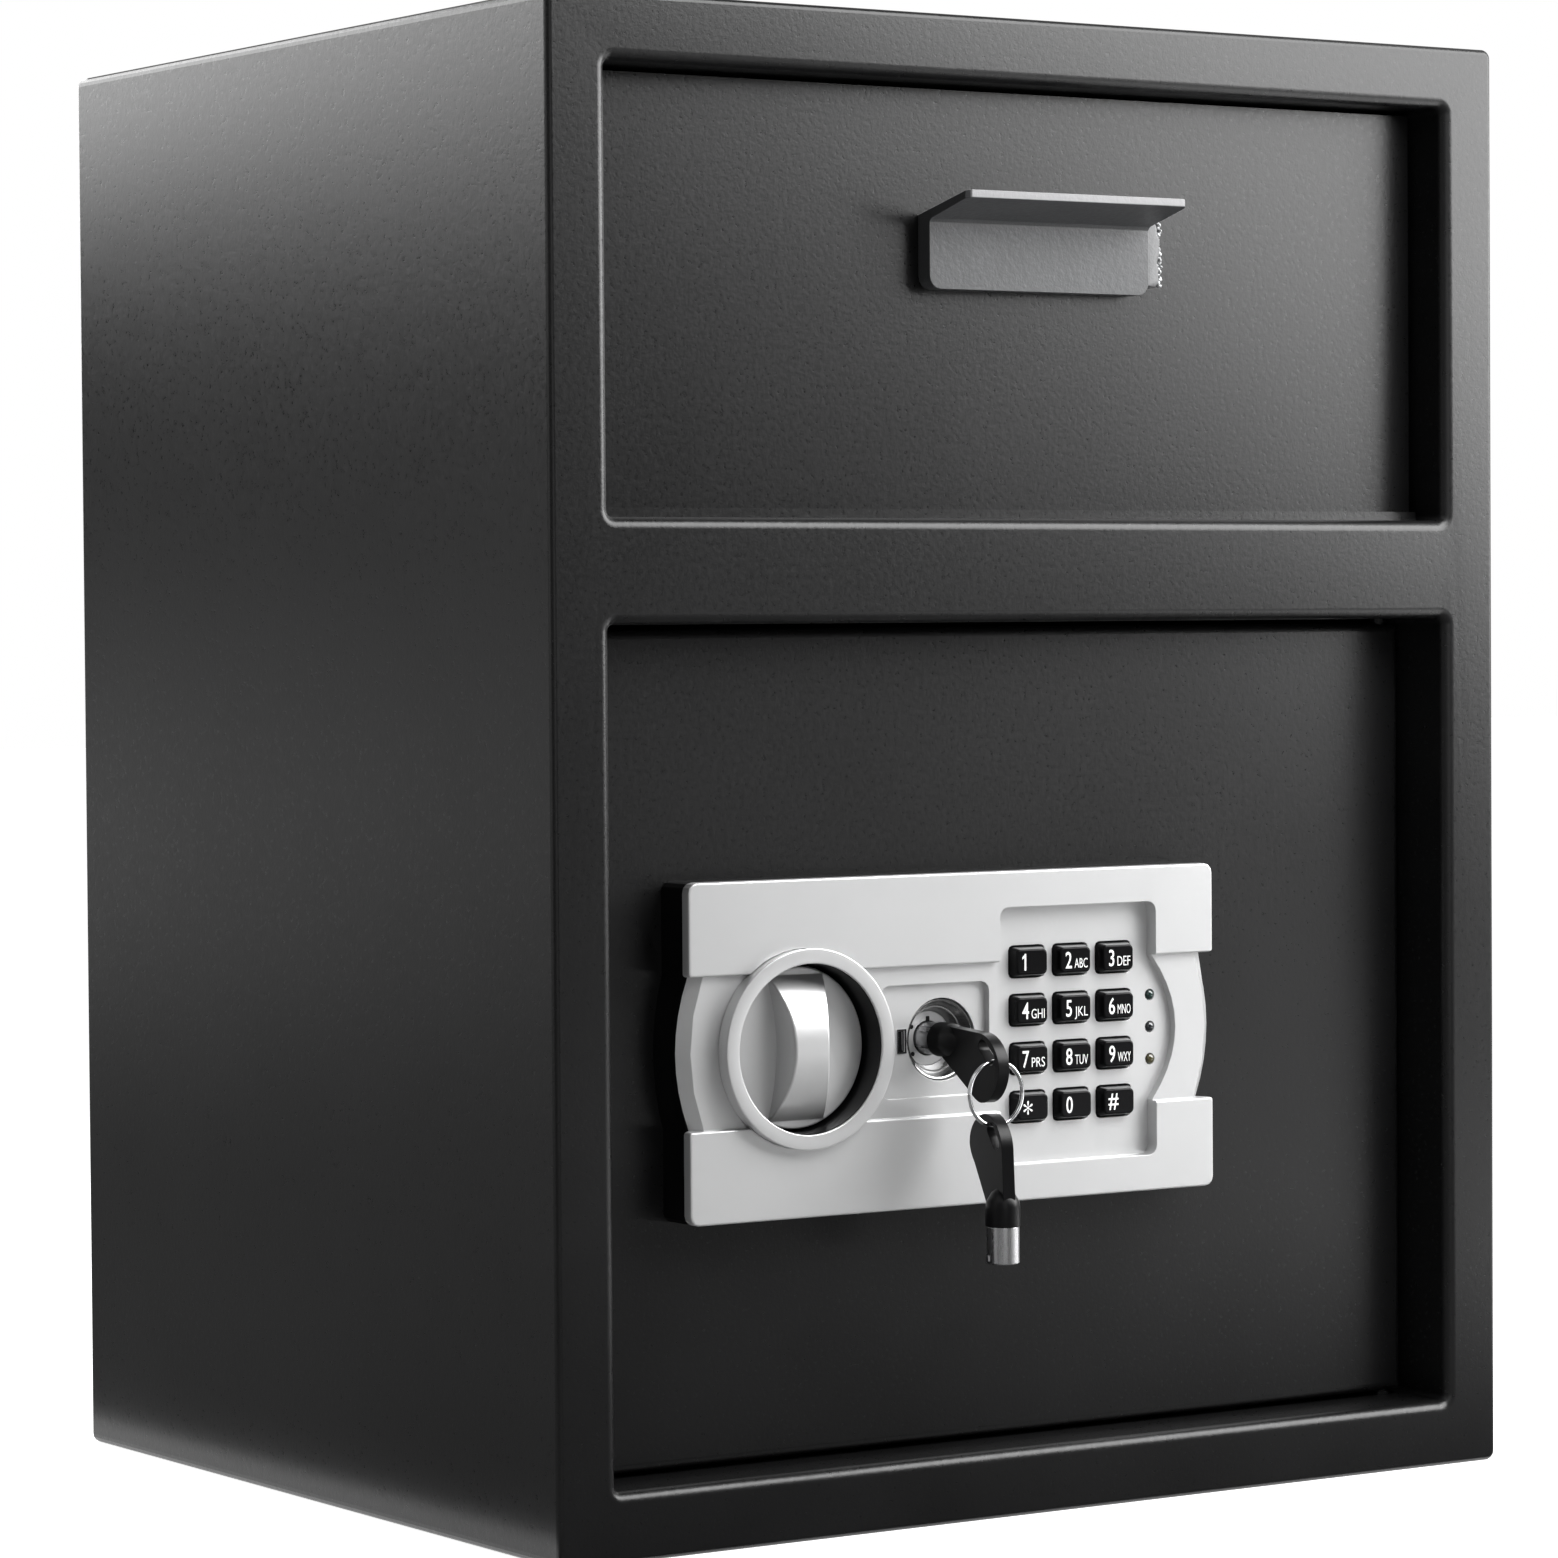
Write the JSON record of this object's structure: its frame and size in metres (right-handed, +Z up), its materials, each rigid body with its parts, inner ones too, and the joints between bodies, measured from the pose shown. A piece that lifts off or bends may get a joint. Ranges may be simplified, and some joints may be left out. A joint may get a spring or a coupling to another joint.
{
  "type": "front-loading deposit safe",
  "caption": "Black sheet steel deposit safe with a tilting hopper above a hinged door that carries an electronic keypad lock, a knob and an emergency key.",
  "frame": {"origin": "centre of the base's underside", "axes": "+Z up, -Y towards the front where the door is, +X to the right seen from the front"},
  "size_m": [0.35, 0.327, 0.45],
  "materials": {
    "black_powder": "fine textured powder coat",
    "door_powder": "fine textured powder coat",
    "handle_powder": "powder coat, slightly worn",
    "weld_paint": "ragged weld bead under thin paint",
    "silver_plastic": "silver sprayed plastic, satin",
    "black_plastic": "fine satin",
    "key_plastic": "gloss with white printed legends",
    "chrome": "bright chrome",
    "zinc": "zinc plated",
    "steel": "turned steel",
    "rubber": "matt",
    "felt": "felt",
    "board": "green circuit board",
    "battery_jacket": "printed jacket",
    "lens": "tinted lenses",
    "red_plastic": "gloss"
  },
  "bodies": {
    "safe": {"body_shell": "black_powder", "front_frame": "black_powder", "back_panel": "black_powder", "floor_mat": "felt", "chute_baffle": "black_powder", "divider_shelf": "black_powder", "hopper_hinge_pin_left": "black_powder", "hopper_hinge_pin_right": "black_powder", "door_hinge_pin_top": "black_powder", "door_hinge_pin_bottom": "black_powder"},
    "hopper": {"hopper_door": "door_powder", "hopper_handle": "handle_powder", "handle_weld_bead": "weld_paint", "hopper_cheek_left": "door_powder", "hopper_cheek_right": "door_powder", "hopper_tray": "door_powder"},
    "door": {"door_panel": "door_powder", "lock_base": "black_plastic", "lock_fascia": "silver_plastic", "knob_bezel": "silver_plastic", "keypad_mat": "rubber", "circuit_board": "board", "status_lights": "lens", "cylinder_body": "chrome", "bolt_guide": "steel", "solenoid": "zinc", "lock_cover": "black_powder", "battery_box": "black_plastic", "battery": "battery_jacket", "cover_screw_1": "zinc", "cover_screw_2": "zinc", "cover_screw_3": "zinc", "cover_screw_4": "zinc"},
    "knob": {"knob": "silver_plastic", "knob_spindle": "steel", "bolt_cam": "zinc"},
    "bolts": {"bolt_carriage": "steel", "lock_bolt_upper": "steel", "lock_bolt_lower": "steel"},
    "plunger": {"solenoid_plunger": "steel"},
    "inserted_key": {"cylinder_plug": "zinc", "key_tube": "steel", "key_bow": "black_plastic"},
    "ring": {"key_ring": "chrome"},
    "spare_key": {"spare_key_tube": "steel", "spare_key_bow": "black_plastic"},
    "battery_lid": {"battery_lid": "black_plastic"},
    "reset_button": {"reset_button": "red_plastic"},
    "button_1": {"keypad_1": "key_plastic"},
    "button_2": {"keypad_2": "key_plastic"},
    "button_3": {"keypad_3": "key_plastic"},
    "button_4": {"keypad_4": "key_plastic"},
    "button_5": {"keypad_5": "key_plastic"},
    "button_6": {"keypad_6": "key_plastic"},
    "button_7": {"keypad_7": "key_plastic"},
    "button_8": {"keypad_8": "key_plastic"},
    "button_9": {"keypad_9": "key_plastic"},
    "button_star": {"keypad_star": "key_plastic"},
    "button_0": {"keypad_0": "key_plastic"},
    "button_hash": {"keypad_hash": "key_plastic"}
  },
  "joints": [
    {"name": "door_swing", "type": "hinge", "parent": "safe", "child": "door", "pos_m": [0.1472, -0.126, 0.145], "axis": [0, 0, 1], "range_deg": [0, 90]},
    {"name": "hopper_tilt", "type": "hinge", "parent": "safe", "child": "hopper", "pos_m": [0, -0.128, 0.3101], "axis": [1, 0, 0], "range_deg": [0, 40]},
    {"name": "knob_turn", "type": "hinge", "parent": "door", "child": "knob", "pos_m": [-0.0855, -0.1383, 0.1445], "axis": [0, -1, 0], "range_deg": [0, 60]},
    {"name": "bolt_throw", "type": "slide", "parent": "door", "child": "bolts", "axis": [-1, 0, 0], "range_m": [0, 0.017]},
    {"name": "plunger_drop", "type": "slide", "parent": "door", "child": "plunger", "axis": [0, 0, -1], "range_m": [0, 0.006], "stiffness_N_per_m": 40, "springref_m": -0.003},
    {"name": "key_turn", "type": "hinge", "parent": "door", "child": "inserted_key", "pos_m": [-0.034, -0.14, 0.1445], "axis": [0, 1, 0], "range_deg": [0, 90]},
    {"name": "ring_swing", "type": "hinge", "parent": "inserted_key", "child": "ring", "pos_m": [-0.034, -0.1679, 0.1301], "axis": [0, 1, 0], "range_deg": [-40, 40]},
    {"name": "spare_key_swing", "type": "hinge", "parent": "ring", "child": "spare_key", "pos_m": [-0.034, -0.1679, 0.12055], "axis": [0.9903, -0.1392, 0], "range_deg": [-15, 15]},
    {"name": "battery_lid_hinge", "type": "hinge", "parent": "door", "child": "battery_lid", "pos_m": [0.05095, -0.0817, 0.11565], "axis": [-1, 0, 0], "range_deg": [0, 100]},
    {"name": "reset_button_press", "type": "slide", "parent": "door", "child": "reset_button", "axis": [0, -1, 0], "range_m": [0, 0.002], "stiffness_N_per_m": 300, "springref_m": -0.001},
    {"name": "button_1_press", "type": "slide", "parent": "door", "child": "button_1", "axis": [0, 1, 0], "range_m": [0, 0.0015], "stiffness_N_per_m": 300, "springref_m": -0.001},
    {"name": "button_2_press", "type": "slide", "parent": "door", "child": "button_2", "axis": [0, 1, 0], "range_m": [0, 0.0015], "stiffness_N_per_m": 300, "springref_m": -0.001},
    {"name": "button_3_press", "type": "slide", "parent": "door", "child": "button_3", "axis": [0, 1, 0], "range_m": [0, 0.0015], "stiffness_N_per_m": 300, "springref_m": -0.001},
    {"name": "button_4_press", "type": "slide", "parent": "door", "child": "button_4", "axis": [0, 1, 0], "range_m": [0, 0.0015], "stiffness_N_per_m": 300, "springref_m": -0.001},
    {"name": "button_5_press", "type": "slide", "parent": "door", "child": "button_5", "axis": [0, 1, 0], "range_m": [0, 0.0015], "stiffness_N_per_m": 300, "springref_m": -0.001},
    {"name": "button_6_press", "type": "slide", "parent": "door", "child": "button_6", "axis": [0, 1, 0], "range_m": [0, 0.0015], "stiffness_N_per_m": 300, "springref_m": -0.001},
    {"name": "button_7_press", "type": "slide", "parent": "door", "child": "button_7", "axis": [0, 1, 0], "range_m": [0, 0.0015], "stiffness_N_per_m": 300, "springref_m": -0.001},
    {"name": "button_8_press", "type": "slide", "parent": "door", "child": "button_8", "axis": [0, 1, 0], "range_m": [0, 0.0015], "stiffness_N_per_m": 300, "springref_m": -0.001},
    {"name": "button_9_press", "type": "slide", "parent": "door", "child": "button_9", "axis": [0, 1, 0], "range_m": [0, 0.0015], "stiffness_N_per_m": 300, "springref_m": -0.001},
    {"name": "button_star_press", "type": "slide", "parent": "door", "child": "button_star", "axis": [0, 1, 0], "range_m": [0, 0.0015], "stiffness_N_per_m": 300, "springref_m": -0.001},
    {"name": "button_0_press", "type": "slide", "parent": "door", "child": "button_0", "axis": [0, 1, 0], "range_m": [0, 0.0015], "stiffness_N_per_m": 300, "springref_m": -0.001},
    {"name": "button_hash_press", "type": "slide", "parent": "door", "child": "button_hash", "axis": [0, 1, 0], "range_m": [0, 0.0015], "stiffness_N_per_m": 300, "springref_m": -0.001}
  ],
  "couplings": [
    {"joint": "knob_turn", "follows": "bolt_throw", "rad_per_m": 61.59}
  ]
}
